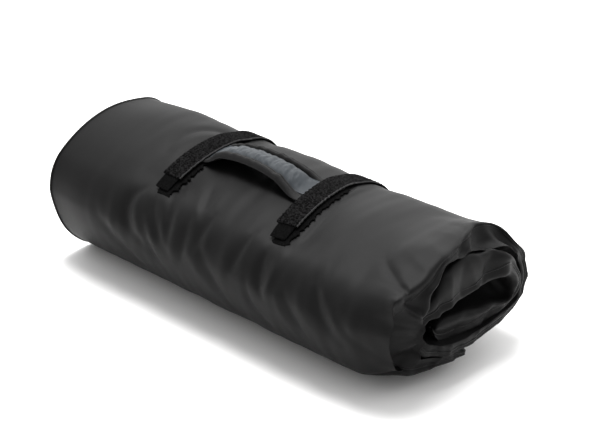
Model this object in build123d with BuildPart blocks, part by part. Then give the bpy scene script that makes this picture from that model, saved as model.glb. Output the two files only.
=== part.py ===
from build123d import *
import os
from math import acos, atan2, cos, degrees, hypot, radians, sin

# A soft padded exercise mat, rolled flat into an oval. Two hook-and-loop straps are sewn
# into the seam at its outer end, come up the back and over the top, and stick to landing
# tapes on the cover, over the sewn ends of a padded handle. Millimetres. X runs along the
# roll, -Y is the side that the strap ends are on, Z is up and the floor is at z = 0.

# --- the mat ---
mat_width = 500.0
cover_wall = 1.0
layer_gap = 0.6
core_gap = 0.1
outer_end_y = 30.0
inner_end_y = -26.0
piping_radius = 1.5

# --- the rolled oval: four tangent arcs that spiral inwards by one pitch a turn ---
roll_tilt = 8.0
front_radius = 47.0
front_arc, back_arc = (-52.0, 0.0), (59.0, 12.0)
top_arc, bottom_arc = (10.6, -164.6), (19.1, 214.0)

# --- the straps, from the mat's outer end up the back and over the top ---
tape_width = 25.0
hook_thickness = 1.0
loop_thickness = 1.3
fit_gap = 0.1
left_strap_x, right_strap_x = -88.0, 65.0
hinge_y = 50.0
pile_end_y = -60.0
tab_start_y, tab_end_y = -60.6, -76.0
tab_thickness = 1.1
tail_gap = 0.7
right_tail_x, right_tail_slant = 62.0, 8.0
landing_thickness = 1.1
landing_start_y, landing_end_y = 28.5, -80.0
landing_offset = 5.0

# --- the handle ---
grip_front_y, grip_back_y = -24.0, 28.5
front_binding_width, rear_binding_width = 12.0, 9.0
sewn_thickness = 1.0
grip_thickness = 7.0
grip_clearance = 10.0
under_panel_thickness = 1.0
top_panel_thickness = 1.2
neck_length = 20.0
neck_gap = 0.4
binding_round = 2.6
stitch_width, stitch_height, stitch_margin = 1.0, 0.15, 3.0


def turned(point, angle):
    """The point turned about the origin, in degrees."""
    y, z = point
    c, s = cos(radians(angle)), sin(radians(angle))
    return (y * c - z * s, y * s + z * c)


def distance(a, b):
    return hypot(b[0] - a[0], b[1] - a[1])


def heading(a, b):
    """The direction from a to b, in degrees."""
    return degrees(atan2(b[1] - a[1], b[0] - a[0]))


def polar(centre, radius, angle):
    return (centre[0] + radius * cos(radians(angle)), centre[1] + radius * sin(radians(angle)))


# Radii along the mat's middle surface, worked out from the arcs' centres by tangency.
front_c, back_c, top_c, bottom_c = (turned(c, roll_tilt) for c in (front_arc, back_arc, top_arc, bottom_arc))
top_radius = front_radius + distance(top_c, front_c)
back_radius = top_radius - distance(top_c, back_c)
bottom_radius = back_radius + distance(back_c, bottom_c)
pitch = front_radius + distance(bottom_c, front_c) - bottom_radius
half = (pitch - layer_gap) / 2
outer_bottom_radius = bottom_radius + pitch
inner_bottom_radius = bottom_radius - pitch

# The oval is moved so that its box is centred on Y and its flat underside lies on the floor.
strap_inner = half + fit_gap
strap_middle = strap_inner + hook_thickness
strap_outer = strap_middle + loop_thickness
shift_y = -(front_c[0] - front_radius - half + back_c[0] + back_radius + strap_outer) / 2
shift_z = outer_bottom_radius + half - bottom_c[1]
front_c, back_c, top_c, bottom_c = (
    (c[0] + shift_y, c[1] + shift_z) for c in (front_c, back_c, top_c, bottom_c)
)
front_bottom = heading(bottom_c, front_c)
front_top = heading(top_c, front_c)
back_top = heading(top_c, back_c)
back_bottom = heading(bottom_c, back_c)

# Heights above the mat's middle surface, outwards from the cover.
landing_inner = half + fit_gap / 2
landing_outer = landing_inner + landing_thickness
sewn_outer = landing_outer + sewn_thickness
tail_inner = sewn_outer + tail_gap
tail_middle = tail_inner + hook_thickness
tail_outer = tail_middle + loop_thickness

# The handle's arch in the XZ plane, between the two straps' inner edges.
neck_left = left_strap_x + tape_width / 2 + 0.5
neck_right = right_strap_x - tape_width / 2 - 0.5
arch_x = (neck_left + neck_right) / 2
arch_half = (neck_right - neck_left) / 2
grip_y = (grip_front_y + grip_back_y) / 2


def top_angle(y):
    """Where on the roll's top arc the cover's outer face is at this y."""
    return degrees(acos((y - top_c[0]) / (top_radius + half)))


def surface_z(y):
    return polar(top_c, top_radius + half, top_angle(y))[1]


arch_radius = (arch_half**2 + grip_clearance**2) / (2 * grip_clearance)
arch_z = surface_z(grip_y) + grip_clearance - arch_radius


def clockwise(centre, radius, start, end):
    """An arc from one direction to another, turning clockwise."""
    size = (start - end) % 360
    CenterArc(centre, radius, start, -size)
    return polar(centre, radius, end)


def spiral(rise, trim):
    """The mat's middle surface moved outwards by rise, with trim taken off each end."""
    floor_z = bottom_c[1] - outer_bottom_radius - rise
    start = (outer_end_y - trim, floor_z)
    Line(start, (bottom_c[0], floor_z))
    turns = [(front_c, front_radius), (top_c, top_radius), (back_c, back_radius), (bottom_c, bottom_radius)]
    joints = [front_bottom, front_top, back_top, back_bottom]
    clockwise(bottom_c, outer_bottom_radius + rise, -90, joints[0])
    for turn in (0, 1):
        for i, (centre, radius) in enumerate(turns):
            if (turn, i) != (1, 3):
                clockwise(centre, radius - turn * pitch + rise, joints[i], joints[(i + 1) % 4])
    last = -degrees(acos((inner_end_y - bottom_c[0]) / inner_bottom_radius))
    last += degrees(trim / inner_bottom_radius)
    end = clockwise(bottom_c, inner_bottom_radius + rise, joints[3], last)
    return start, end


def spiral_band(x, low, high, trim=0.0):
    """The mat's section at x, between two heights about its middle surface."""
    with BuildSketch(Plane.YZ.offset(x)) as section:
        with BuildLine():
            a_start, a_end = spiral(low, trim)
            b_start, b_end = spiral(high, trim)
            Line(a_start, b_start)
            Line(a_end, b_end)
        make_face()
    return section.sketch


def strap_line(rise):
    """The strap's way from the mat's outer seam, round the back and over, to the hinge."""
    seam = (outer_end_y + 2 * piping_radius + fit_gap, bottom_c[1] - outer_bottom_radius)
    run = heading(back_c, seam) + degrees(acos((back_radius + strap_inner) / distance(back_c, seam)))
    start = polar(seam, rise - strap_inner, run)
    Line(start, polar(back_c, back_radius + rise, run))
    CenterArc(back_c, back_radius + rise, run, (back_top - run) % 360)
    CenterArc(top_c, top_radius + rise, back_top, top_angle(hinge_y) - back_top)
    return start, polar(top_c, top_radius + rise, top_angle(hinge_y))


def strap_band(x, low, high):
    """The section at x of one tape of the strap that goes round the roll."""
    with BuildSketch(Plane.YZ.offset(x)) as section:
        with BuildLine():
            a_start, a_end = strap_line(low)
            b_start, b_end = strap_line(high)
            Line(a_start, b_start)
            Line(a_end, b_end)
        make_face()
    return section.sketch


def top_band(plane, low, high, back_y, front_y):
    """A section along the roll's top arc, between two heights above the middle surface."""
    first, last = top_angle(back_y), top_angle(front_y)
    with BuildSketch(plane) as section:
        with BuildLine():
            inner = CenterArc(top_c, top_radius + low, first, last - first)
            outer = CenterArc(top_c, top_radius + high, first, last - first)
            Line(inner @ 0, outer @ 0)
            Line(inner @ 1, outer @ 1)
        make_face()
    return section.sketch


def save(builder, name):
    builder.part.label = name
    export_step(builder.part, f"parts/{name}.step")


def tape_on_top(name, x, slant, low, high, back_y, front_y):
    """A tape along the roll's top, turned in plan about the upright line at its hinge."""
    angle = radians(slant)
    plan = Plane(origin=(x, hinge_y, 0), x_dir=(cos(angle), sin(angle), 0), z_dir=(0, 0, 1))
    with BuildPart() as tape:
        band = top_band(Plane.YZ, low, high, back_y + tape_width / 2, front_y - tape_width / 2)
        extrude(band, amount=mat_width / 2, both=True)
        with BuildSketch(plan):
            with Locations((0, (back_y + front_y) / 2 - hinge_y)):
                Rectangle(tape_width, back_y - front_y)
        extrude(amount=2 * surface_z(grip_y), mode=Mode.INTERSECT)
    save(tape, name)


def mat_core():
    """The wadding."""
    wall = cover_wall + core_gap
    with BuildPart() as core:
        extrude(spiral_band(0, wall - half, half - wall, wall), amount=mat_width / 2 - wall, both=True)
    save(core, "mat_core")


def cover_panel(name, low, high, hollow_low, hollow_high):
    """Half of the cover, a shallow tray that meets the other half at the mat's middle surface."""
    with BuildPart() as panel:
        extrude(spiral_band(0, low, high), amount=mat_width / 2, both=True)
        hollow = spiral_band(0, hollow_low, hollow_high, cover_wall)
        extrude(hollow, amount=mat_width / 2 - cover_wall, both=True, mode=Mode.SUBTRACT)
    save(panel, name)


def side_piping(name, side):
    """The piping along one long edge of the mat, which spirals with it."""
    x = side * (mat_width / 2 + piping_radius)
    with BuildLine(Plane.YZ.offset(x)) as edge:
        spiral(0, piping_radius)
    start = Vector(x, outer_end_y - piping_radius, bottom_c[1] - outer_bottom_radius)
    with BuildPart() as piping:
        with BuildSketch(Plane(origin=start, z_dir=(0, -1, 0))):
            Circle(piping_radius)
        sweep(path=edge.wire())
    save(piping, name)


def end_piping(name, point):
    """The piping across one end of the mat."""
    with BuildPart() as piping:
        with BuildSketch(Plane.YZ):
            with Locations(point):
                Circle(piping_radius)
        extrude(amount=mat_width / 2, both=True)
    save(piping, name)


def strap_base(side, x):
    """The two tapes sewn back to back that come round the roll: hooks in, pile out."""
    for kind, low, high in (("hook", strap_inner, strap_middle), ("loop", strap_middle, strap_outer)):
        with BuildPart() as tape:
            extrude(strap_band(x, low, high), amount=tape_width / 2, both=True)
        save(tape, f"{side}_strap_{kind}_tape")


def strap_tail(side, x, slant):
    """The strap's free end, which peels off, its pull tab, and the tape that it sticks to."""
    tape_on_top(f"{side}_tail_hook_tape", x, slant, tail_inner, tail_middle, hinge_y, pile_end_y)
    tape_on_top(f"{side}_tail_loop_tape", x, slant, tail_middle, tail_outer, hinge_y, pile_end_y)
    tab_outer = tail_inner + tab_thickness
    tape_on_top(f"{side}_pull_tab", x, slant, tail_inner, tab_outer, tab_start_y, tab_end_y)
    landing_x = x + landing_offset
    tape_on_top(
        f"{side}_landing_tape",
        landing_x,
        slant,
        landing_inner,
        landing_outer,
        landing_start_y,
        landing_end_y,
    )


def neck_profile(side, neck_x):
    """The rise from the flat sewn end up to the full handle, seen along Y."""
    cut_x = neck_x - side * (neck_length - neck_gap / 2)
    reach = arch_x - cut_x
    cut_low = arch_z + (arch_radius**2 - reach**2) ** 0.5
    cut_high = arch_z + ((arch_radius + grip_thickness) ** 2 - reach**2) ** 0.5
    foot_z = surface_z(grip_y)
    with BuildSketch(Plane.XZ.offset(-grip_y)) as profile:
        with BuildLine():
            Polyline(
                (neck_x, foot_z - grip_clearance),
                (neck_x, foot_z + sewn_thickness + 1),
                (cut_x, cut_high),
                (cut_x, cut_low),
                (neck_x - side, foot_z),
                (neck_x - side, foot_z - grip_clearance),
                close=True,
            )
        make_face()
    return profile.sketch


def handle_end(name, side, strap_x, neck_x):
    """The handle's flat end, sewn to the strap, and the neck that rises from it."""
    with BuildPart() as end:
        over = Plane.YZ.offset(neck_x - side * neck_length)
        stock = top_band(over, landing_outer, sewn_outer + 2 * grip_thickness, grip_back_y, grip_front_y)
        extrude(stock, amount=side * neck_length)
        extrude(
            neck_profile(side, neck_x),
            amount=grip_back_y - grip_front_y,
            both=True,
            mode=Mode.INTERSECT,
        )
        sewn = top_band(Plane.YZ.offset(strap_x), landing_outer, sewn_outer, grip_back_y, grip_front_y)
        extrude(sewn, amount=tape_width / 2 + 1, both=True)
    save(end, name)


def end_stitching(name, strap_x):
    """The box of thread that holds the handle's end to the strap."""
    length = grip_back_y - grip_front_y - 2 * stitch_margin
    width = tape_width - 2 * stitch_margin
    plane = Plane.YZ.offset(strap_x)
    with BuildPart() as thread:
        band = top_band(plane, sewn_outer, sewn_outer + stitch_height, grip_back_y, grip_front_y)
        extrude(band, amount=tape_width / 2, both=True)
        with BuildSketch(Plane.XY):
            with Locations((strap_x, grip_y)):
                Rectangle(width, length)
                Rectangle(width - 2 * stitch_width, length - 2 * stitch_width, mode=Mode.SUBTRACT)
        extrude(amount=2 * surface_z(grip_y), mode=Mode.INTERSECT)
    save(thread, name)


def grip_strip(name, front_y, back_y, low, high, round_edges=False):
    """One layer of the handle's arch, between two heights above its underside."""
    reach = arch_half - neck_length - neck_gap / 2
    with BuildPart() as strip:
        with BuildSketch(Plane.XZ.offset(-back_y)):
            with BuildLine():
                lines = []
                for radius in (arch_radius + low, arch_radius + high):
                    spread = 90 - degrees(acos(reach / radius))
                    lines.append(CenterArc((arch_x, arch_z), radius, 90 - spread, 2 * spread))
                Line(lines[0] @ 0, lines[1] @ 0)
                Line(lines[0] @ 1, lines[1] @ 1)
            make_face()
        extrude(amount=back_y - front_y)
        if round_edges:
            fillet(strip.edges().filter_by(GeomType.CIRCLE), binding_round)
    save(strip, name)


def handle():
    """The padded arch: a filling between two panels, bound along both long edges."""
    panel_front = grip_front_y + front_binding_width
    panel_back = grip_back_y - rear_binding_width
    top_low = grip_thickness - top_panel_thickness
    grip_strip("handle_under_panel", panel_front, panel_back, 0, under_panel_thickness)
    grip_strip("handle_padding", panel_front, panel_back, under_panel_thickness, top_low)
    grip_strip("handle_top_panel", panel_front, panel_back, top_low, grip_thickness)
    grip_strip("handle_front_binding", grip_front_y, panel_front, 0, grip_thickness, True)
    grip_strip("handle_rear_binding", panel_back, grip_back_y, 0, grip_thickness, True)


os.makedirs("parts", exist_ok=True)
mat_core()
cover_panel("cover_outer_panel", 0, half, -cover_wall, half - cover_wall)
cover_panel("cover_inner_panel", -half, 0, cover_wall - half, cover_wall)
side_piping("left_side_piping", -1)
side_piping("right_side_piping", 1)
outer_end = (outer_end_y + piping_radius, bottom_c[1] - outer_bottom_radius)
inner_end_angle = -degrees(acos((inner_end_y - bottom_c[0]) / inner_bottom_radius))
inner_end_angle -= degrees(piping_radius / inner_bottom_radius)
end_piping("outer_end_piping", outer_end)
end_piping("inner_end_piping", polar(bottom_c, inner_bottom_radius, inner_end_angle))
strap_base("left", left_strap_x)
strap_base("right", right_strap_x)
strap_tail("left", left_strap_x, 0.0)
strap_tail("right", right_tail_x, right_tail_slant)
handle_end("handle_left_end", -1, left_strap_x, neck_left)
handle_end("handle_right_end", 1, right_strap_x, neck_right)
end_stitching("left_end_stitching", left_strap_x)
end_stitching("right_end_stitching", right_strap_x)
handle()
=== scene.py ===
"""A soft padded exercise mat, rolled into a flat oval and held by two hook-and-loop straps
joined by a padded handle. Metres, in the CAD model's frame: X along the roll, -Y towards the
strap ends, Z up, floor at z = 0."""

import math

import bmesh
import bpy
import numpy as np
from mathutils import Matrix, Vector


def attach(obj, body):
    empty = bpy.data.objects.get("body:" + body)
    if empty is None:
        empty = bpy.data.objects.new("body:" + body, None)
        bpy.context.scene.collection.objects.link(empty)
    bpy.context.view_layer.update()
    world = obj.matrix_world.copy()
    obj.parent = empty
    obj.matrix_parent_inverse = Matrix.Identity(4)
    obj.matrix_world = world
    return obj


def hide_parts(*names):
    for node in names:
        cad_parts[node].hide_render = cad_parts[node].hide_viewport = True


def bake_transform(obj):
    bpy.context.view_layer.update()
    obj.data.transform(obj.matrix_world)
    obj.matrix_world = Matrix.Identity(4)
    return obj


MM = 0.001
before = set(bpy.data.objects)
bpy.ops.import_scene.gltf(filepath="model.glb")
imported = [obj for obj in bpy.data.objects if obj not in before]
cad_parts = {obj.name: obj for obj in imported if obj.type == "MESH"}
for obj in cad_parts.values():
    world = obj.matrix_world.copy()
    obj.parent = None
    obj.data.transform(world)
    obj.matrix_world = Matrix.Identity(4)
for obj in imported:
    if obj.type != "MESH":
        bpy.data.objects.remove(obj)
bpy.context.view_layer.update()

# --- the rolled oval, as in the CAD model: four tangent arcs that spiral inwards ---
MAT_HALF = 250 * MM
ROLL_TILT = math.radians(8)
FRONT_RADIUS = 47 * MM
LAYER_GAP = 0.6 * MM
OUTER_END_Y, INNER_END_Y = 30 * MM, -26 * MM
STRAP_X = {"left": -88 * MM, "right": 65 * MM}
TAIL_X = {"left": -88 * MM, "right": 62 * MM}
TAIL_SLANT = {"left": 0.0, "right": math.radians(8)}
TAPE_HALF = 12.5 * MM
HINGE_Y = 50 * MM


def turned(y, z, angle):
    c, s = math.cos(angle), math.sin(angle)
    return np.array([y * c - z * s, y * s + z * c]) * MM


def gap(a, b):
    return float(np.hypot(*(b - a)))


def heading(a, b):
    return math.atan2(b[1] - a[1], b[0] - a[0])


FRONT_C = turned(-52, 0, ROLL_TILT)
BACK_C = turned(59, 12, ROLL_TILT)
TOP_C = turned(10.6, -164.6, ROLL_TILT)
BOTTOM_C = turned(19.1, 214, ROLL_TILT)
TOP_RADIUS = FRONT_RADIUS + gap(TOP_C, FRONT_C)
BACK_RADIUS = TOP_RADIUS - gap(TOP_C, BACK_C)
BOTTOM_RADIUS = BACK_RADIUS + gap(BACK_C, BOTTOM_C)
PITCH = FRONT_RADIUS + gap(BOTTOM_C, FRONT_C) - BOTTOM_RADIUS
HALF = (PITCH - LAYER_GAP) / 2
STRAP_OUTER = HALF + 2.4 * MM
OUTER_BOTTOM_RADIUS = BOTTOM_RADIUS + PITCH
shift = np.array([
    -(FRONT_C[0] - FRONT_RADIUS - HALF + BACK_C[0] + BACK_RADIUS + STRAP_OUTER) / 2,
    OUTER_BOTTOM_RADIUS + HALF - BOTTOM_C[1],
])
FRONT_C, BACK_C, TOP_C, BOTTOM_C = (c + shift for c in (FRONT_C, BACK_C, TOP_C, BOTTOM_C))


def spiral_path():
    """The mat's middle surface as runs of (centre, radius, start angle, length), outer end first."""
    joints = [
        heading(BOTTOM_C, FRONT_C), heading(TOP_C, FRONT_C),
        heading(TOP_C, BACK_C), heading(BOTTOM_C, BACK_C),
    ]
    turns = [
        (FRONT_C, FRONT_RADIUS), (TOP_C, TOP_RADIUS),
        (BACK_C, BACK_RADIUS), (BOTTOM_C, BOTTOM_RADIUS),
    ]
    arcs = [(BOTTOM_C, OUTER_BOTTOM_RADIUS, -math.pi / 2, joints[0])]
    for turn in (0, 1):
        for i, (centre, radius) in enumerate(turns):
            arcs.append((centre, radius - turn * PITCH, joints[i], joints[(i + 1) % 4]))
    inner = BOTTOM_RADIUS - PITCH
    last = -math.acos((INNER_END_Y - BOTTOM_C[0]) / inner)
    arcs[-1] = (BOTTOM_C, inner, joints[3], last)
    return [(c, r, a, (a - b) % (2 * math.pi) * r) for c, r, a, b in arcs]


PATH = spiral_path()
FLAT_RUN = OUTER_END_Y - BOTTOM_C[0]
STARTS = np.cumsum([FLAT_RUN] + [run[3] for run in PATH])
TOP_START, BACK_START, BACK_END = STARTS[2], STARTS[3], STARTS[4]
MAT_LENGTH = STARTS[-1]


def on_spiral(s):
    """Points (y, z) and outward normals of the middle surface at distances s from its outer end."""
    s = np.asarray(s, float)
    point = np.stack([OUTER_END_Y - s, np.full_like(s, BOTTOM_C[1] - OUTER_BOTTOM_RADIUS)], -1)
    normal = np.tile([0.0, -1.0], s.shape + (1,))
    start = FLAT_RUN
    for centre, radius, angle, length in PATH:
        here = s >= start
        a = angle - (s - start) / radius
        n = np.stack([np.cos(a), np.sin(a)], -1)
        normal[here] = n[here]
        point[here] = (centre + radius * n)[here]
        start += length
    return point, normal


def smooth(t):
    t = np.clip(t, 0, 1)
    return t * t * (3 - 2 * t)


def bump(t):
    return np.exp(-np.square(t))


def ripple(u, v, scale, seed, waves=14):
    """Smooth even noise of about unit height, with features about scale across."""
    rng = np.random.default_rng(seed)
    angle = rng.uniform(0, math.pi, waves)
    size = 2 * math.pi / (scale * rng.uniform(0.7, 1.5, waves))
    phase = rng.uniform(0, 2 * math.pi, waves)
    total = np.zeros(np.broadcast(u, v).shape)
    for a, k, p in zip(angle, size, phase):
        total = total + np.cos(k * (np.cos(a) * u + np.sin(a) * v) + p)
    return total * math.sqrt(2 / waves)


# Where the roll is pulled out of true, as (place, reach, pull), in millimetres.
TUGS = [
    ((250, 52, 130), 34, (0, 4, 13)),
    ((256, -88, 62), 46, (4, 19, 4)),
    ((250, -60, 92), 30, (2, 6, -5)),
    ((250, -50, 14), 34, (0, 8, 6)),
    ((250, 100, 36), 34, (-4, 4, -3)),
    ((250, 92, 96), 30, (-8, -2, -6)),
    ((246, -24, 60), 20, (0, -14, 2)),
    ((243, -97, 114), 9, (0, -6, 6)),
    ((250, -86, 108), 9, (-5, 6, -3)),
    ((231, -88, 36), 10, (-2, 13, 3)),
    ((-250, -100, 70), 40, (0, 5, 0)),
    ((-256, 52, 150), 52, (0, 3, -8)),
]


def roll_shape(p):
    """The roll is taller and leans back at its left end, is low and wide at its right end, tucks in
    under its front, and is pulled out of true at a few places."""
    p = np.array(p, float)
    u = np.clip(p[:, 0] / MAT_HALF, -1, 1)
    share = p[:, 2] / (140 * MM)
    rise = 1.017 - 0.09 * u - (0.041 + 0.067 * u) * p[:, 1] / (110 * MM)
    low = np.clip(1 - p[:, 2] / (80 * MM), 0, 1)
    under = 16 * MM * smooth((-p[:, 1] - 20 * MM) / (80 * MM)) * low
    p[:, 1] = p[:, 1] * (0.985 + 0.105 * u) + (6.7 * u - 5.2) * MM * share + under
    p[:, 2] *= rise
    moved = p.copy()
    for place, reach, pull in TUGS:
        off = np.linalg.norm(p - np.array(place) * MM, axis=1) / (reach * MM)
        moved += bump(off)[:, None] * np.array(pull) * MM
    moved[:, 2] = np.maximum(moved[:, 2], 0.0)
    return moved


def shaped_with(points):
    """roll_shape for an array of points of any shape."""
    return roll_shape(points.reshape(-1, 3)).reshape(points.shape)


# --- stage, camera and light ---
CAMERA_AZIMUTH, CAMERA_ELEVATION, CAMERA_DISTANCE = math.radians(43.1), math.radians(25.5), 1.608
AIM = Vector((0, 0, 80 * MM))
AIM_RIGHT, AIM_UP = 28 * MM, 13 * MM
LENS = 90.1
BRIGHT_SIDE = (-0.55, 0.76, 0.35)
DIM, BRIGHT = 0.52, 1.9
OVERHEAD, BACK = 75, 6


def new_object(name, data):
    o = bpy.data.objects.new(name, data)
    bpy.context.scene.collection.objects.link(o)
    return o


def mesh_object(name, points, faces, material=None, shade_smooth=True):
    mesh = bpy.data.meshes.new(name)
    mesh.from_pydata([tuple(p) for p in points], [], [tuple(int(i) for i in f) for f in faces])
    mesh.validate()
    mesh.polygons.foreach_set("use_smooth", [shade_smooth] * len(mesh.polygons))
    mesh.update()
    o = new_object(name, mesh)
    if material:
        mesh.materials.append(material)
    return o


def add_camera():
    back = Vector((
        math.sin(CAMERA_AZIMUTH) * math.cos(CAMERA_ELEVATION),
        -math.cos(CAMERA_AZIMUTH) * math.cos(CAMERA_ELEVATION),
        math.sin(CAMERA_ELEVATION),
    ))
    right = Vector((0, 0, 1)).cross(back).normalized()
    up = back.cross(right)
    camera = new_object("camera", bpy.data.cameras.new("camera"))
    camera.data.lens = LENS
    camera.data.clip_start = 0.01
    camera.location = AIM + back * CAMERA_DISTANCE
    look = AIM + right * AIM_RIGHT + up * AIM_UP - camera.location
    camera.rotation_mode = "QUATERNION"
    camera.rotation_quaternion = look.to_track_quat("-Z", "Y")
    bpy.context.scene.camera = camera


def add_light(name, location, size, energy, aim=(0, 0, 0.07)):
    light = bpy.data.lights.new(name, "AREA")
    light.shape = "RECTANGLE"
    light.size, light.size_y = size
    light.energy = energy
    o = new_object(name, light)
    o.location = location
    o.rotation_mode = "QUATERNION"
    o.rotation_quaternion = (Vector(aim) - Vector(location)).to_track_quat("-Z", "Y")
    return o


def add_world():
    """A studio that is bright behind and above the roll, and dim on the camera's side."""
    world = bpy.data.worlds.new("studio")
    bpy.context.scene.world = world
    world.use_nodes = True
    tree = world.node_tree
    background = tree.nodes["Background"]
    background.inputs["Color"].default_value = (1, 1, 1, 1)
    place = tree.nodes.new("ShaderNodeTexCoord")
    dot = tree.nodes.new("ShaderNodeVectorMath")
    dot.operation = "DOT_PRODUCT"
    dot.inputs[1].default_value = BRIGHT_SIDE
    spread = tree.nodes.new("ShaderNodeMapRange")
    spread.inputs["From Min"].default_value = -0.5
    spread.inputs["From Max"].default_value = 0.9
    spread.inputs["To Min"].default_value = DIM
    spread.inputs["To Max"].default_value = BRIGHT
    tree.links.new(place.outputs["Generated"], dot.inputs[0])
    tree.links.new(dot.outputs["Value"], spread.inputs["Value"])
    tree.links.new(spread.outputs["Result"], background.inputs["Strength"])


def add_stage():
    add_world()
    bpy.context.scene.view_settings.view_transform = "Standard"
    half = 12.0
    corners = [(-half, -half, 0), (half, -half, 0), (half, half, 0), (-half, half, 0)]
    floor = mesh_object("floor", corners, [(0, 1, 2, 3)], None, False)
    material = bpy.data.materials.new("floor")
    material.use_nodes = True
    shader = material.node_tree.nodes["Principled BSDF"]
    shader.inputs["Base Color"].default_value = (0.93, 0.925, 0.92, 1)
    shader.inputs["Roughness"].default_value = 0.9
    shader.inputs["Specular IOR Level"].default_value = 0.1
    floor.data.materials.append(material)
    add_light("overhead", (-0.3, 0.2, 2.4), (1.15, 1.05), OVERHEAD)
    add_light("back", (-1.0, 1.9, 1.2), (1.4, 0.8), BACK)


# --- materials ---
def fabric(
    name, dark, light, roughness, sheen,
    patch=0.02, weave=1600.0, weave_depth=0.25, grain=None, fuzz=0.0, specular=0.5,
):
    """A woven or brushed fabric: patches of colour, or specks if fuzz is given, a fine weave and, if
    grain is given, a coarser pile. weave, grain and fuzz are noise scales; patch is in metres."""
    material = bpy.data.materials.new(name)
    material.use_nodes = True
    tree = material.node_tree
    shader = tree.nodes["Principled BSDF"]
    shader.inputs["Roughness"].default_value = roughness
    shader.inputs["Specular IOR Level"].default_value = specular
    shader.inputs["Sheen Weight"].default_value = sheen
    shader.inputs["Sheen Roughness"].default_value = 0.45
    place = tree.nodes.new("ShaderNodeTexCoord")

    def noise_node(scale, detail=2.0):
        n = tree.nodes.new("ShaderNodeTexNoise")
        n.inputs["Scale"].default_value = scale
        n.inputs["Detail"].default_value = detail
        tree.links.new(place.outputs["Object"], n.inputs["Vector"])
        return n

    patches = noise_node(1 / patch, 3.0)
    tone = tree.nodes.new("ShaderNodeMix")
    tone.data_type = "RGBA"
    tone.inputs["A"].default_value = (*dark, 1)
    tone.inputs["B"].default_value = (*light, 1)
    source = patches.outputs["Fac"]
    if fuzz:
        specks = noise_node(fuzz, 3.0)
        spread = tree.nodes.new("ShaderNodeMapRange")
        spread.inputs["From Min"].default_value = 0.42
        spread.inputs["From Max"].default_value = 0.62
        tree.links.new(specks.outputs["Fac"], spread.inputs["Value"])
        source = spread.outputs["Result"]
    tree.links.new(source, tone.inputs["Factor"])
    tree.links.new(tone.outputs["Result"], shader.inputs["Base Color"])
    height = None
    for scale, depth in ((weave, weave_depth), (grain, 0.5)):
        if not scale:
            continue
        n = noise_node(scale, 2.0)
        bumps = tree.nodes.new("ShaderNodeBump")
        bumps.inputs["Strength"].default_value = depth
        bumps.inputs["Distance"].default_value = 0.6 / scale
        tree.links.new(n.outputs["Fac"], bumps.inputs["Height"])
        if height:
            tree.links.new(height.outputs["Normal"], bumps.inputs["Normal"])
        height = bumps
    tree.links.new(height.outputs["Normal"], shader.inputs["Normal"])
    return material


def grey(v):
    return (v, v * 0.98, v)


def make_materials():
    return {
        "cover": fabric("cover_fabric", grey(0.0028), grey(0.0040), 0.54, 0.0, specular=0.115),
        "piping": fabric("piping", grey(0.002), grey(0.003), 0.45, 0.0, specular=0.15),
        "hook": fabric(
            "hook_tape", grey(0.0008), grey(0.003), 0.9, 0.0,
            specular=0.035, weave=900.0, weave_depth=0.8, fuzz=700.0,
        ),
        "pile": fabric(
            "loop_tape", grey(0.0004), grey(0.010), 0.95, 0.0,
            specular=0.035, weave=1200.0, weave_depth=0.7, grain=500.0, fuzz=480.0,
        ),
        "selvage": fabric("selvage", grey(0.010), grey(0.030), 0.7, 0.0, specular=0.15),
        "panel": fabric(
            "grip_fabric", (0.017, 0.0208, 0.0245), (0.027, 0.0325, 0.0385), 0.6, 0.05,
            patch=0.006, specular=0.22,
        ),
        "binding": fabric(
            "binding", grey(0.005), grey(0.009), 0.7, 0.0, specular=0.18, weave=1100.0, weave_depth=0.6,
        ),
        "thread": fabric("thread", grey(0.03), grey(0.05), 0.6, 0.2, weave=2500.0),
    }


def finish_piece(o, body, slot, *nodes):
    if body:
        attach(o, body)
    if nodes:
        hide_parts(*nodes)
    return o


def subdivide(o, levels=1):
    modifier = o.modifiers.new("smooth", "SUBSURF")
    modifier.levels = modifier.render_levels = levels
    bpy.context.view_layer.objects.active = o
    o.select_set(True)
    bpy.ops.object.modifier_apply(modifier=modifier.name)
    o.select_set(False)


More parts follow.
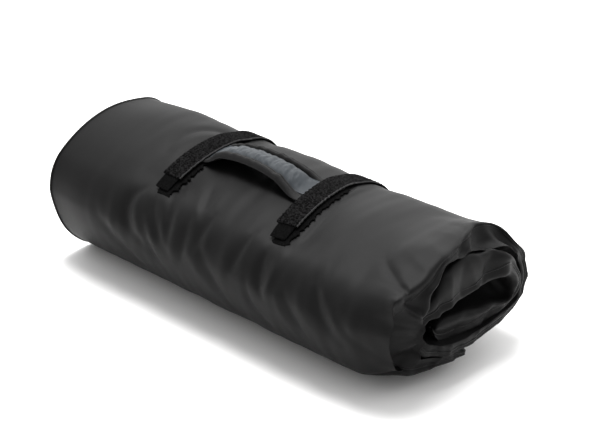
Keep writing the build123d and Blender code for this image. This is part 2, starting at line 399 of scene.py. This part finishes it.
# --- the mat ---
# Folds sculpted in the cover: three points (x, s) along each, its half width and its
# height, in millimetres, with s measured round the roll from the mat's outer end.
FOLDS = [
    (-112, 204, -121, 180, -94, 163, 8, -4.2),
    (-96, 165, -78, 154, -60, 146, 7, -2.0),
    (-105, 203, -102, 178, -64, 142, 4, 1.7),
    (-94, 182, -80, 162, -66, 148, 4, -1.6),
    (-97, 203, -80, 178, -58, 142, 4, 1.8),
    (-90, 203, -80, 186, -52, 164, 5, -2.6),
    (-74, 209, -64, 188, -57, 168, 4, 1.8),
    (-72, 213, -58, 190, -50, 174, 5, -2.2),
    (-66, 228, -48, 200, -42, 154, 5, 2.2),
    (-30, 195, -28, 174, -34, 158, 7, -2.4),
    (-52, 245, -31, 209, -16, 187, 5, 1.8),
    (-38, 246, -28, 221, -20, 205, 5, -2.0),
    (-26, 251, -14, 222, -18, 197, 5, 1.9),
    (-6, 208, -8, 190, -12, 176, 5, -2.2),
    (-3, 212, 2, 190, 2, 174, 5, 1.6),
    (-4, 178, 16, 159, 38, 136, 6, -2.2),
    (-26, 178, -6, 161, 24, 138, 4, 1.6),
    (-162, 168, -136, 150, -106, 136, 7, -2.6),
    (-150, 172, -120, 153, -92, 134, 5, 1.6),
    (50, 208, 48, 188, 41, 170, 7, -2.0),
    (56, 220, 55, 195, 50, 170, 5, 1.6),
    (79, 200, 80, 181, 88, 166, 6, -3.0),
    (100, 198, 98, 176, 91, 161, 5, 2.4),
    (78, 173, 82, 166, 89, 158, 4, 1.6),
    (67, 170, 73, 151, 92, 138, 5, -2.0),
    (108, 175, 114, 160, 136, 138, 5, 2.2),
    (118, 174, 130, 160, 146, 146, 5, -2.0),
    (134, 176, 150, 161, 166, 149, 6, 1.5),
    (148, 192, 166, 171, 194, 152, 7, -3.0),
    (151, 206, 170, 182, 226, 148, 5, 1.8),
    (184, 176, 206, 159, 232, 146, 5, -2.0),
    (204, 112, 222, 116, 246, 118, 5, -5.0),
    (202, 122, 220, 127, 240, 130, 4, 2.6),
    (196, 238, 212, 226, 236, 214, 5, -2.4),
    (-92, 343, -131, 316, -128, 262, 6, -2.0),
    (-88, 340, -118, 300, -112, 250, 6, 1.6),
    (-86, 325, -106, 288, -106, 248, 5, -2.0),
]
# How much of a listed height a ridge and a valley get, and how sharply a fold falls away.
RIDGE_SHARE, VALLEY_SHARE, FOLD_FALL = 0.6, 1.4, 1.3
FOLD_MARGIN = 25


def fold_height(x, s):
    """The folds' heights at points x along and s round the roll, all in millimetres."""
    total = np.zeros(np.broadcast(x, s).shape)
    steps = np.linspace(0, 1, 15)
    for x0, s0, x1, s1, x2, s2, width, height in FOLDS:
        # a curve through the three points
        pull = (2 * x1 - (x0 + x2) / 2, 2 * s1 - (s0 + s2) / 2)
        line = np.outer((1 - steps) ** 2, (x0, s0)) + np.outer(2 * steps * (1 - steps), pull)
        line = line + np.outer(steps**2, (x2, s2))
        low, high = line.min(0) - FOLD_MARGIN, line.max(0) + FOLD_MARGIN
        near = (x > low[0]) & (x < high[0]) & (s > low[1]) & (s < high[1])
        px, ps = x[near], s[near]
        best = np.full(px.shape, 1e9)
        along = np.zeros(px.shape)
        for k in range(len(line) - 1):
            a, b = line[k], line[k + 1]
            d = b - a
            t = np.clip(((px - a[0]) * d[0] + (ps - a[1]) * d[1]) / (d @ d), 0, 1)
            off = np.hypot(px - a[0] - t * d[0], ps - a[1] - t * d[1])
            better = off < best
            best = np.where(better, off, best)
            along = np.where(better, (k + t) / (len(line) - 1), along)
        taper = np.sin(math.pi * np.clip(along, 0.06, 0.94)) ** 0.6
        across = best / (width * (0.6 + 0.4 * taper))
        share = RIDGE_SHARE if height > 0 else VALLEY_SHARE
        total[near] += height * share * taper * np.exp(-across**FOLD_FALL)
    return total


def strap_pinch(x, s):
    """How tightly the straps hold the cover down, from 0 to 1, and how near it is to one, from 0 to 1."""
    x, s = x / MM, s / MM
    held, close = np.zeros(x.shape), np.zeros(x.shape)
    along = smooth((s - 200) / 30) * (1 - smooth((s - 500) / 40))
    for side in ("left", "right"):
        past = np.clip(345 - s, 0, None)
        centre = STRAP_X[side] / MM + math.tan(TAIL_SLANT[side]) * past + 2.5
        off = np.abs(x - centre)
        held = np.maximum(held, (1 - smooth((off - 13) / 6)) * along)
        close = np.maximum(close, bump(off / 42) * along)
    return held, close


def relief(x, s):
    """How far the cover stands out from the CAD model's outer face, in metres. It fades out before
    the face runs under the mat's outer end."""
    held, close = strap_pinch(x, s)
    xm, sm = x / MM, s / MM
    outside = smooth((sm - 60) / 45) * (1 - smooth((sm - 430) / 50))
    swell = 1.8 - 4.6 * close
    soft = 0.9 * ripple(xm, sm * 0.55, 60, 3) + 0.45 * ripple(xm, sm * 0.3, 24, 5)
    soft = soft * (0.15 + 0.85 * smooth((xm + 225) / 90))
    front = bump((sm - 165) / 60)
    fine = 0.14 * front * ripple(xm + 0.3 * sm, sm * 0.35, 13, 9) * smooth((xm + 200) / 60)
    lift = swell + soft * (0.5 - 0.2 * front) + fine + fold_height(xm, sm)
    lift = lift * (1 - held) - 0.7 * held
    return lift * outside * MM


CORNER = 20 * MM  # the mat's corners are rounded by this much
INNER_CORNER_SHARE = 0.15  # but less at the crumpled end's inner corner
TOP_COLUMNS = 141
EDGE_STEPS = 10


def between(s, *pairs):
    """A value that changes smoothly along the mat, from (distance in mm, value) pairs."""
    at, value = np.array(pairs, float).T
    k = np.clip(np.searchsorted(at, s / MM) - 1, 0, len(at) - 2)
    t = smooth((s / MM - at[k]) / (at[k + 1] - at[k]))
    return value[k] + (value[k + 1] - value[k]) * t


# The crumpled right edge: at distances along the mat, the outer corner, the seam and the inner
# corner, each as (off the middle surface, along the roll), in millimetres.
RIM = [
    (0, 4, 232, 0, 234, -4, 233),
    (20, -3, 241, -7, 246, -12, 244),
    (45, -3, 240, -8, 247, -14, 248),
    (80, 3, 234, -3, 239, -13, 241),
    (100, 5, 226, -2, 235, -14, 240),
    (122, 7, 236, 1, 225, -17, 243),
    (150, 8, 241, 1, 227, -20, 250),
    (178, 9, 244, 2, 231, -17, 252),
    (200, 15, 241, 7, 246, -9, 252),
    (235, 18, 228, 10, 250, 4, 251),
    (265, 21, 226, 16, 248, 14, 248),
    (297, 19, 222, 16, 239, 4, 245),
    (325, 17, 214, 14, 229, -7, 248),
    (350, 16, 224, 14, 234, 0, 259),
    (370, 12, 244, 9, 256, 1, 257),
    (410, 7, 244, 3, 253, -4, 252),
    (445, 2, 250, -2, 258, -8, 258),
    (480, 4, 250, -4, 258, -11, 258),
    (520, 8, 246, 0, 256, -9, 256),
    (560, 13, 240, 4, 250, -7, 250),
    (580, 12, 238, 4, 245, -6, 244),
    (600, 5, 236, 0, 238, -8, 236),
    (615, 5, 236, 0, 238, -8, 236),
    (635, 8, 238, 2, 240, -6, 236),
    (655, 14, 240, 3, 246, -13, 232),
    (680, 29, 239, 0, 250, -13, 226),
    (705, 32, 240, -3, 251, -14, 226),
    (730, 21, 245, 1, 251, -12, 228),
    (755, 20, 259, 12, 264, -6, 240),
    (775, 15, 258, 8, 263, -4, 250),
    (791, 15, 254, 9, 258, 5, 254),
    (820, 18, 252, 7, 255, -5, 247),
    (850, 24, 245, 9, 250, -10, 243),
    (879, 34, 240, 12, 244, -9, 238),
]
# Sharp creases across the crumpled wall: place along the mat, slant, width and height, in mm.
PLEATS = [
    (12, 6, 4, 2), (34, -8, 3, -2), (66, 10, 4, 2), (138, -14, 4, 3), (152, -10, 5, -3),
    (171, 16, 4, 4), (196, 12, 4, 4), (203, 8, 3, -5), (284, 14, 5, 3), (296, 20, 4, -4),
    (309, 24, 4, 5), (319, 20, 4, -4), (334, -10, 5, 4), (345, -14, 4, -4), (362, -8, 5, 3),
    (388, 8, 4, -3), (405, 10, 4, 2), (432, -9, 4, 3), (470, 12, 3, 2), (497, -8, 4, -2),
    (512, 10, 3, 2), (533, -12, 3, -2), (548, 8, 4, 3), (566, -8, 4, -2), (676, 12, 5, 2),
    (694, 16, 4, -2), (712, -14, 4, 2), (726, 18, 4, -3), (741, -16, 4, 3), (758, 12, 5, -4),
    (768, 9, 4, 3), (779, -9, 4, -3), (800, 14, 4, 2), (817, 16, 3, -3), (836, -12, 4, 2),
    (856, 14, 4, -2),
]
RIM_REACH = (46, 26)  # how far in from the edge the outer and inner faces start to bend, in mm


# How far the inner wall puffs out and how deep the seam's groove is, as (distance, mm).
PUFF = [
    (0, 1), (122, 2), (150, 8), (190, 8), (225, 3), (265, 1),
    (600, 1), (680, 3), (750, 2), (820, 4), (900, 3),
]
GROOVE = [(0, 1.2), (122, 3), (190, 3), (225, 2.2), (350, 2.2), (420, 1.2), (900, 1.2)]
LEFT_ROUND, SEAM_SINK = 6 * MM, 1.2 * MM


def rim(s):
    """The right edge's outer corner, seam and inner corner at distances s, as columns of (off, x)."""
    table = np.array(RIM, float)
    k = np.clip(np.searchsorted(table[:, 0], s / MM) - 1, 0, len(table) - 2)
    t = smooth((s / MM - table[k, 0]) / (table[k + 1, 0] - table[k, 0]))[:, None]
    return (table[k, 1:] * (1 - t) + table[k + 1, 1:] * t) * MM


def mat_section(s):
    """For each s, the loop round the mat's width: x, the height off the middle surface, and how far
    towards the outer face (1) or the inner face (-1) each point is."""
    turn = np.linspace(0, 1, EDGE_STEPS + 1)[None, :]
    angle = turn * math.pi / 2
    rise, fall = np.sin(angle) ** 0.65, np.cos(angle) ** 0.65
    # the plain left edge, with its seam near the outer face
    seam = between(s, (0, 0.3), (90, 0.98), (520, 0.98), (560, 0), (900, 0))[:, None]
    lo_h = seam + (1 - seam) * fall
    li_h = seam - (1 + seam) * rise
    lo_x = -MAT_HALF + LEFT_ROUND * (1 - rise) + SEAM_SINK * bump((lo_h - seam) / 0.12)
    li_x = -MAT_HALF + LEFT_ROUND * (1 - fall) + SEAM_SINK * bump((li_h - seam) / 0.12)
    # the crumpled right edge
    outer, outer_x, middle, middle_x, inner, inner_x = (column[:, None] for column in rim(s).T)
    ro_x, ro_d = outer_x + (middle_x - outer_x) * rise, middle + (outer - middle) * fall
    ri_x, ri_d = inner_x + (middle_x - inner_x) * fall, middle + (inner - middle) * rise
    ri_x = ri_x + between(s, *PUFF)[:, None] * MM * np.sin(math.pi * turn**0.7)
    groove = between(s, *GROOVE)[:, None] * MM * bump(turn / 0.14)
    ro_x = ro_x - groove[:, ::-1]
    ri_x = ri_x - groove
    ro_h, ri_h = np.broadcast_to(1 - turn, ro_x.shape), np.broadcast_to(-turn, ri_x.shape)
    # the faces between, which run into the right edge's corners
    share = np.linspace(0, 1, TOP_COLUMNS)[None, :]
    share = share + 0.07 * np.sin(math.pi * share) ** 2 + 0.02 * np.sin(math.pi * share)
    start = LEFT_ROUND - MAT_HALF
    face_x = start + (outer_x - start) * share
    back_x = start + (inner_x - start) * share
    bend = smooth((face_x - outer_x) / (RIM_REACH[0] * MM) + 1)
    back_bend = smooth((back_x - inner_x) / (RIM_REACH[1] * MM) + 1)
    face_d = HALF + (outer - HALF) * bend
    back_d = -HALF + (inner + HALF) * back_bend
    ones = np.ones(face_x.shape)

    def loop(left_out, face, right_out, right_in, back, left_in):
        return np.concatenate([
            left_out[:, :0:-1], face, right_out[:, 1:],
            right_in[:, 1:-1], back[:, ::-1], left_in[:, -2:0:-1],
        ], axis=1)

    return (
        loop(lo_x, face_x, ro_x, ri_x, back_x, li_x),
        loop(HALF * lo_h, face_d, ro_d, ri_d, back_d, HALF * li_h),
        loop(lo_h, ones, ro_h, ri_h, -ones, li_h),
    )


def creased(u, v, scale, seed):
    """Noise with sharp crests, as in thin coated cloth, from about -1 to 0.5."""
    return 0.5 - 1.5 * np.abs(ripple(u, v, scale, seed)) ** 0.8


def gathers(x, s, h):
    """Creases that run in from the seams along the mat's right edge: how far they stand out from the
    face and from the wall, in mm."""
    xm, sm = x / MM, s / MM
    near = bump((250 - xm) / 30) * (xm > 0)
    face = near * (0.7 * creased(sm + 0.35 * xm, xm * 0.22, 34, 21) + 0.5 * ripple(sm, xm * 0.4, 48, 22))
    wall = bump((250 - xm) / 22) * (xm > 0)
    wall = wall * (0.6 * creased(sm + 9 * h, h * 4, 38, 23) + 0.4 * ripple(sm, h * 8, 50, 24))
    for place, slant, width, height in PLEATS:
        across = np.abs(sm - place - slant * h) / width
        crest = height * np.exp(-across) * (xm > 0)
        wall = wall + crest * bump((250 - xm) / 20) * (1 - 0.6 * np.abs(h))
        face = face + 0.5 * crest * bump((240 - xm) / 22) * (h > 0.5)
    return face, wall


MAT_ROWS, END_ROUND = 280, 14 * MM


def mat_points():
    """The mat's points, a row for each distance along it and a column for each place round its width."""
    turn = np.linspace(0, math.pi / 2, 6)[:-1]
    start = END_ROUND * (1 - np.cos(turn))
    middle = np.linspace(END_ROUND, MAT_LENGTH - END_ROUND, MAT_ROWS)
    s = np.concatenate([start, middle, MAT_LENGTH - start[::-1]])
    taper = np.concatenate([np.sin(turn), np.ones(MAT_ROWS), np.sin(turn[::-1])])
    taper = np.maximum(taper, 0.04)[:, None]
    x, d, h = mat_section(s)
    s_all = np.broadcast_to(s[:, None], h.shape)
    centre, normal = on_spiral(s)
    d = d * taper + relief(x, s_all) * smooth(h * 2.0) * taper
    face, wall = gathers(x, s_all, h)
    inner_face = (h < 0) | (s_all > BACK_END)
    crease = np.where(inner_face, -np.abs(face) * 0.5, face)
    d = d + np.sign(h) * crease * np.abs(h) * MM * taper
    x = x + wall * MM
    from_end = np.minimum(s, MAT_LENGTH - s)[:, None]
    cut = CORNER - np.sqrt(np.clip(CORNER**2 - np.clip(CORNER - from_end, 0, None) ** 2, 0, None))
    x = x * (1 - cut * np.where((x > 0) & (s_all > BACK_END), INNER_CORNER_SHARE, 1.0) / MAT_HALF)
    points = np.empty(d.shape + (3,))
    points[..., 0] = x
    points[..., 1:] = centre[:, None, :] + normal[:, None, :] * d[..., None]
    return points


def grid_faces(rows, columns):
    faces = []
    for i in range(rows - 1):
        for j in range(columns):
            k = (j + 1) % columns
            faces.append((i * columns + j, i * columns + k, (i + 1) * columns + k, (i + 1) * columns + j))
    return faces


def make_mat(m):
    grid = shaped_with(mat_points())
    rows, columns = grid.shape[:2]
    faces = grid_faces(rows, columns)
    half_loop = columns // 2
    for row, flip in ((0, True), (rows - 1, False)):
        for k in range(half_loop):
            corners = [k, k + 1, (columns - k - 1) % columns, (columns - k) % columns]
            corners = [row * columns + c for c in dict.fromkeys(corners)]
            faces.append(tuple(corners[::-1] if flip else corners))
    mat = mesh_object("mat", grid.reshape(-1, 3), faces, m["cover"])
    subdivide(mat)
    finish_piece(mat, "roll", "cover_fabric", "mat_core", "cover_outer_panel", "cover_inner_panel")
    left, right = 0, 2 * EDGE_STEPS - 1 + TOP_COLUMNS
    tube("left_piping", grid[:, left], 1.5 * MM, m["piping"], "left_side_piping")
    tube("right_piping", grid[:, right], 0.9 * MM, m["piping"], "right_side_piping")
    across = slice(EDGE_STEPS, EDGE_STEPS + TOP_COLUMNS)
    tube("outer_piping", grid[0, across], 1.4 * MM, m["piping"], "outer_end_piping")
    tube("inner_piping", grid[-1, across], 1.4 * MM, m["piping"], "inner_end_piping")


def caps(rows, columns):
    """The two end faces of a closed grid."""
    return [tuple(range(columns))[::-1], tuple((rows - 1) * columns + j for j in range(columns))]


def tube(name, line, radius, material, node):
    """A thin tube along the points, closed at both ends."""
    line = np.asarray(line)
    ahead = np.gradient(line, axis=0)
    ahead /= np.linalg.norm(ahead, axis=1)[:, None]
    spare = np.where(np.abs(ahead[:, :1]) > 0.7, [[0.0, 0.0, 1.0]], [[1.0, 0.0, 0.0]])
    side = np.cross(ahead, spare)
    side /= np.linalg.norm(side, axis=1)[:, None]
    other = np.cross(ahead, side)
    turn = np.linspace(0, 2 * math.pi, 9)[:-1]
    ring = side[:, None] * np.cos(turn)[None, :, None] + other[:, None] * np.sin(turn)[None, :, None]
    points = (line[:, None] + radius * ring).reshape(-1, 3)
    faces = grid_faces(len(line), 8) + caps(len(line), 8)
    return finish_piece(mesh_object(name, points, faces, material), "roll", "piping", node)


# --- the straps ---
def ribbon(name, centre, side, up, half_width, half_thick, material, across, dress, edge_material=None):
    """A closed strip along the centre points, with rounded edges. dress moves its points."""
    count = len(centre)
    a = np.linspace(-1, 1, across)
    top = np.stack([a, np.ones(across)], -1)
    bottom = np.stack([a[::-1], -np.ones(across)], -1)
    loop = np.concatenate([top, [[1.04, 0.0]], bottom, [[-1.04, 0.0]]])
    half_width = np.broadcast_to(half_width, (count,))
    half_thick = np.broadcast_to(half_thick, (count,))
    a = np.broadcast_to(loop[None, :, 0], (count, len(loop)))
    b = np.broadcast_to(loop[None, :, 1], (count, len(loop)))
    points = centre[:, None] + side[:, None] * (half_width[:, None] * a)[..., None]
    points = points + up[:, None] * (half_thick[:, None] * b)[..., None]
    points = dress(points, a, b, side, up)
    columns = len(loop)
    faces = grid_faces(count, columns) + caps(count, columns)
    o = mesh_object(name, points.reshape(-1, 3), faces, material)
    if edge_material:
        o.data.materials.append(edge_material)
        for i in range(count - 1):
            for j in (across - 2, across - 1):
                o.data.polygons[i * columns + j].material_index = 1
    return o


def top_s(y):
    """The distance s at which a tape on the outermost turn passes this y on the roll's top."""
    s = np.linspace(TOP_START, BACK_START, 400)
    point, normal = on_spiral(s)
    return float(np.interp(y, (point + normal * (HALF + 2 * MM))[:, 0], s))


def surface_line(s, height, x, slant=0.0, pivot_y=HINGE_Y):
    """Points over the roll at distances s, their outward directions and the strip's sideways directions."""
    point, normal = on_spiral(s)
    yz = point + normal * (HALF + np.asarray(height))[:, None]
    along = yz[:, 0] - pivot_y
    centre = np.stack([x - math.tan(slant) * along, yz[:, 0], yz[:, 1]], -1)
    up = np.stack([np.zeros(len(s)), normal[:, 0], normal[:, 1]], -1)
    side = np.tile([math.cos(slant), math.sin(slant), 0.0], (len(s), 1))
    side -= up * (side * up).sum(1)[:, None]
    side /= np.linalg.norm(side, axis=1)[:, None]
    return centre, side, up


def plain_dress(points, a, b, side, up):
    return shaped_with(points)


def pile_dress(seed):
    """Shaggy pile on the top face and edges."""
    def dress(points, a, b, side, up):
        p = points / MM
        x, run = p[..., 0], p[..., 1] + p[..., 2]
        fluff = ripple(x, run, 2.6, seed) * 0.6 + ripple(x, run, 1.7, seed + 1, 20) * 0.6
        rise = np.where(b > 0, PILE_DEPTH * (0.6 + 0.5 * fluff), 0)
        edge = np.where(np.abs(a) > 0.9, 0.35, 1.0)
        points = points + up[:, None] * (rise * edge)[..., None]
        wander = 0.25 * MM * ripple(run, p[..., 0] * 0, 5, seed + 2)
        points = points + side[:, None] * (wander * (np.abs(a) > 0.8) * np.sign(a))[..., None]
        return shaped_with(points)
    return dress


def ragged_dress(seed):
    """Edges that were cut roughly."""
    def dress(points, a, b, side, up):
        y = points[..., 1] / MM
        wander = 1.0 * ripple(y, y * 0, 7, seed) + 0.7 * ripple(y, y * 0, 3, seed + 1)
        points = points + side[:, None] * (wander * MM * (np.abs(a) > 0.85))[..., None]
        return shaped_with(points)
    return dress


PILE_DEPTH = 0.55 * MM
PILE_END_Y, TAB_ROOT_Y, TAB_END_Y = -60 * MM, -57 * MM, -76 * MM
LANDING_Y, LANDING_SHIFT = (29 * MM, -81 * MM), 5 * MM
SEAM_Y = OUTER_END_Y + 3.1 * MM


def strap_line(side_name):
    """The strap's centre points, sideways directions and outward directions: from the seam under the
    roll straight up to its back, round the back and over the top to the end of the pile."""
    x, tail_x = STRAP_X[side_name], TAIL_X[side_name]
    s_hinge, s_pile = top_s(HINGE_Y), top_s(PILE_END_Y)
    seam = np.array([SEAM_Y, BOTTOM_C[1] - OUTER_BOTTOM_RADIUS])
    reach = BACK_RADIUS + HALF + 1.2 * MM
    meet = heading(BACK_C, seam) + math.acos(reach / gap(BACK_C, seam))
    normal_there = np.array([math.cos(meet), math.sin(meet)])
    touch = BACK_C + reach * normal_there
    start_angle = PATH[3][2]
    s_touch = BACK_START + (start_angle - (meet if meet < start_angle else meet - 2 * math.pi)) * BACK_RADIUS
    straight = seam + (touch - seam) * np.linspace(0, 1, 40)[:-1][:, None]
    s = np.arange(s_touch, s_pile, -1.1 * MM)
    height = (1.3 + 2.7 * smooth((s_hinge + 8 * MM - s) / (28 * MM))) * MM
    point, normal = on_spiral(s)
    yz = point + normal * (HALF + height)[:, None]
    ahead = np.clip(HINGE_Y - yz[:, 0], 0, None) * (s < s_hinge + 6 * MM)
    x_line = x + (tail_x - x) * smooth((s_hinge + 40 * MM - s) / (40 * MM))
    x_line = x_line + math.tan(TAIL_SLANT[side_name]) * ahead
    centre = np.concatenate([
        np.concatenate([np.full((len(straight), 1), x), straight], 1),
        np.concatenate([x_line[:, None], yz], 1),
    ])
    up = np.zeros_like(centre)
    up[: len(straight), 1:] = normal_there
    up[len(straight):, 1:] = normal
    side = np.cross(up, np.gradient(centre, axis=0))
    side /= -np.linalg.norm(side, axis=1)[:, None]
    side *= np.sign(side[:, :1])
    return centre, side, up


def make_landing(side_name, m, seed):
    """The tape under the tail that it sticks to, a little to its right, with ragged edges."""
    s = np.linspace(top_s(LANDING_Y[0]), top_s(LANDING_Y[1]), 90)
    x, slant = TAIL_X[side_name] + LANDING_SHIFT, TAIL_SLANT[side_name]
    centre, side, up = surface_line(s, np.full(len(s), 0.6 * MM), x, slant)
    half_width = TAPE_HALF - 3.5 * MM * smooth(np.linspace(-2.2, 1, len(s)))
    landing = ribbon(
        f"{side_name}_landing", centre, side, up, half_width, 0.5 * MM, m["hook"], 15, ragged_dress(seed),
    )
    finish_piece(landing, "roll", "loop_tape", f"{side_name}_landing_tape")


def make_tab(side_name, m):
    """The pull tab, which comes out from under the end of the pile."""
    s = np.linspace(top_s(TAB_ROOT_Y), top_s(TAB_END_Y), 26)
    droop = np.linspace(0, 1, len(s))
    centre, side, up = surface_line(s, (3.4 - 0.9 * droop) * MM, TAIL_X[side_name], TAIL_SLANT[side_name])

    def ribbed(points, a, b, side, up):
        ribs = 0.16 * np.sin(points[..., 1] / MM * 2 * math.pi / 1.6) * (b > 0)
        curl = 0.7 * np.clip(a, 0, 1) ** 2 - 1.2 * np.clip(-a, 0, 1) ** 3
        lift = ribs - curl * droop[:, None] ** 1.5
        return shaped_with(points + up[:, None] * (lift * MM)[..., None])

    half_width = (9.8 - 1.4 * droop**2) * MM
    tab = ribbon(f"{side_name}_tab", centre, side, up, half_width, 0.55 * MM, m["hook"], 15, ribbed)
    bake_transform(tab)
    finish_piece(tab, None, "hook_tape", f"{side_name}_pull_tab")


def make_strap(side_name, m, seed):
    """One strap with its free tail, its landing tape and its pull tab."""
    strap = ribbon(
        f"{side_name}_strap", *strap_line(side_name), TAPE_HALF, 1.0 * MM, m["pile"], 31,
        pile_dress(seed), m["selvage"],
    )
    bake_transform(strap)
    finish_piece(
        strap, None, "loop_tape", f"{side_name}_strap_hook_tape", f"{side_name}_strap_loop_tape",
        f"{side_name}_tail_hook_tape", f"{side_name}_tail_loop_tape",
    )
    make_landing(side_name, m, seed + 5)
    make_tab(side_name, m)


# --- the handle ---
GRIP_FRONT, GRIP_BACK = -24 * MM, 28.5 * MM
PANEL_FRONT, PANEL_BACK = -12 * MM, 19.5 * MM
ARCH_X, ARCH_HALF = -11.5 * MM, 63.5 * MM
ARCH_END = 6 * MM  # how far each strip runs on under the straps
GRIP_CLEARANCE = 10 * MM
ARCH_RADIUS = (ARCH_HALF**2 + GRIP_CLEARANCE**2) / (2 * GRIP_CLEARANCE)


def surface_z(y):
    return TOP_C[1] + np.sqrt((TOP_RADIUS + HALF) ** 2 - np.square(y - TOP_C[0]))


ARCH_Z = float(surface_z((GRIP_FRONT + GRIP_BACK) / 2)) + GRIP_CLEARANCE - ARCH_RADIUS


def arch_under(x, y):
    """The height of the handle's underside, which rises from the straps and lies flat beside them."""
    off = x - ARCH_X
    arch = ARCH_Z + np.sqrt(ARCH_RADIUS**2 - off**2) + (GRIP_BACK - y) * 0.06 * (1 - (off / ARCH_HALF) ** 2)
    flat = surface_z(y) + 1.6 * MM
    share = smooth((ARCH_HALF + 3 * MM - np.abs(off)) / (30 * MM))
    return flat + (np.maximum(arch, flat) - flat) * share


def handle_strip(name, y_front, y_back, thick, crown, material, slot, nodes, across, dress=None, low=0.0):
    """One strip of the handle from strap to strap, thin where it is sewn and padded between."""
    reach = ARCH_HALF + ARCH_END
    x = np.linspace(ARCH_X - reach, ARCH_X + reach, 150)
    a = np.linspace(-1, 1, across)
    y = (y_front + y_back) / 2 + (y_back - y_front) / 2 * a
    grid_x, grid_y = np.meshgrid(x, y, indexing="ij")
    under = arch_under(grid_x, grid_y) + low
    swell = smooth((ARCH_HALF + 4 * MM - np.abs(grid_x - ARCH_X)) / (22 * MM))
    a = a[None, :]
    edge, dome = np.abs(a) ** 4, crown * swell * (1 - a**2)
    full = (1.2 * MM + (thick - 1.2 * MM) * swell) * (1 - 0.9 * edge) + dome
    top = np.stack([grid_x, grid_y, under + full], -1)
    bottom = np.stack([grid_x, grid_y, under - 0.5 * dome + 0.3 * thick * edge], -1)
    if dress is not None:
        top[..., 2] += dress(top / MM, a, swell) * MM
    ring = np.concatenate([top, bottom[:, ::-1]], axis=1)
    ring = shaped_with(ring)
    count, columns = ring.shape[:2]
    faces = grid_faces(count, columns) + caps(count, columns)
    o = mesh_object(name, ring.reshape(-1, 3), faces, material)
    subdivide(o)
    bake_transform(o)
    finish_piece(o, None, slot, *nodes)


def quilted(p, a, swell):
    """Crosswise crinkles in the handle's panel, in mm at points p in mm."""
    lean = p[..., 0] + 0.5 * p[..., 1]
    crinkle = 0.42 * ripple(lean, p[..., 1] * 0.25, 9, 41) + 0.22 * ripple(lean, p[..., 1] * 0.5, 5, 42)
    return crinkle * swell * (1 - np.abs(a) ** 6)


def puffy(p, a, swell):
    """A binding's uneven filling and the groove where it is sewn, in mm at points p in mm."""
    puff = 0.35 * ripple(p[..., 0], p[..., 1] * 0.5, 12, 51) * (1 - np.abs(a) ** 4)
    return (puff - 1.3 * bump((a - 0.15) / 0.16)) * swell


def make_handle(m):
    handle_strip(
        "handle_panel", PANEL_FRONT - 0.8 * MM, PANEL_BACK + 0.8 * MM, 6.6 * MM, 1.0 * MM, m["panel"],
        "grip_fabric", ("handle_top_panel", "handle_padding"), 25, quilted,
    )
    handle_strip(
        "handle_front", GRIP_FRONT, PANEL_FRONT, 7.0 * MM, 1.0 * MM, m["binding"],
        "binding", ("handle_front_binding",), 17, puffy, low=-0.2 * MM,
    )
    handle_strip(
        "handle_rear", PANEL_BACK, GRIP_BACK, 6.4 * MM, 0.8 * MM, m["binding"],
        "binding", ("handle_rear_binding",), 13, puffy,
    )
    handle_strip(
        "handle_lining", PANEL_FRONT - 2 * MM, PANEL_BACK + 2 * MM, 1.5 * MM, 0.2 * MM, m["binding"],
        "binding", ("handle_under_panel",), 17, low=-0.9 * MM,
    )
    s = np.array([top_s(y) for y in np.linspace(GRIP_BACK, GRIP_FRONT, 40)])
    for side_name in ("left", "right"):
        x = STRAP_X[side_name]
        centre, side, up = surface_line(s, np.full(len(s), 1.7 * MM), x)
        end = ribbon(
            f"handle_{side_name}_end", centre, side, up, TAPE_HALF - 0.6 * MM, 0.5 * MM, m["binding"], 15,
            plain_dress,
        )
        finish_piece(end, "roll", "binding", f"handle_{side_name}_end")
        box_stitch(side_name, x, m["thread"])


def box_stitch(side_name, x_mid, material):
    """The sewn box of thread on one end of the handle, stitch by stitch."""
    half, low, high = 9 * MM, GRIP_FRONT + 3.5 * MM, GRIP_BACK - 3.5 * MM
    corners = [(-half, low), (half, low), (half, high), (-half, high), (-half, low), (half, high)]
    turn = np.linspace(0, 2 * math.pi, 7)[:-1]
    mesh = bmesh.new()
    for (x0, y0), (x1, y1) in zip(corners, corners[1:]):
        length = math.hypot(x1 - x0, y1 - y0)
        count = max(2, int(length / (3 * MM)))
        for k in range(count):
            f0, f1 = (k + 0.12) / count, (k + 0.88) / count
            ends = []
            for f in (f0, (f0 + f1) / 2, f1):
                px, py = x_mid + x0 + (x1 - x0) * f, y0 + (y1 - y0) * f
                rise = 2.35 * MM if f not in (f0, f1) else 2.1 * MM
                ends.append(np.array([px, py, float(surface_z(py)) + rise]))
            ends = roll_shape(np.array(ends))
            ahead = ends[-1] - ends[0]
            ahead /= np.linalg.norm(ahead)
            side = np.cross(ahead, [0, 0, 1.0])
            side /= np.linalg.norm(side)
            round_it = [side * math.cos(t) + np.array([0, 0, math.sin(t)]) for t in turn]
            rings = [
                [mesh.verts.new(e + r * MM * way) for way in round_it]
                for e, r in zip(ends, (0.12, 0.32, 0.12))
            ]
            for r0, r1 in zip(rings, rings[1:]):
                for j in range(6):
                    mesh.faces.new((r0[j], r0[(j + 1) % 6], r1[(j + 1) % 6], r1[j]))
            mesh.faces.new(rings[0][::-1])
            mesh.faces.new(rings[-1])
    data = bpy.data.meshes.new(f"{side_name}_stitches")
    mesh.to_mesh(data)
    mesh.free()
    o = new_object(f"{side_name}_stitches", data)
    data.materials.append(material)
    for f in data.polygons:
        f.use_smooth = True
    finish_piece(o, "roll", "thread", f"{side_name}_end_stitching")


add_camera()
add_stage()
materials = make_materials()
make_mat(materials)
make_strap("left", materials, 61)
make_strap("right", materials, 71)
make_handle(materials)
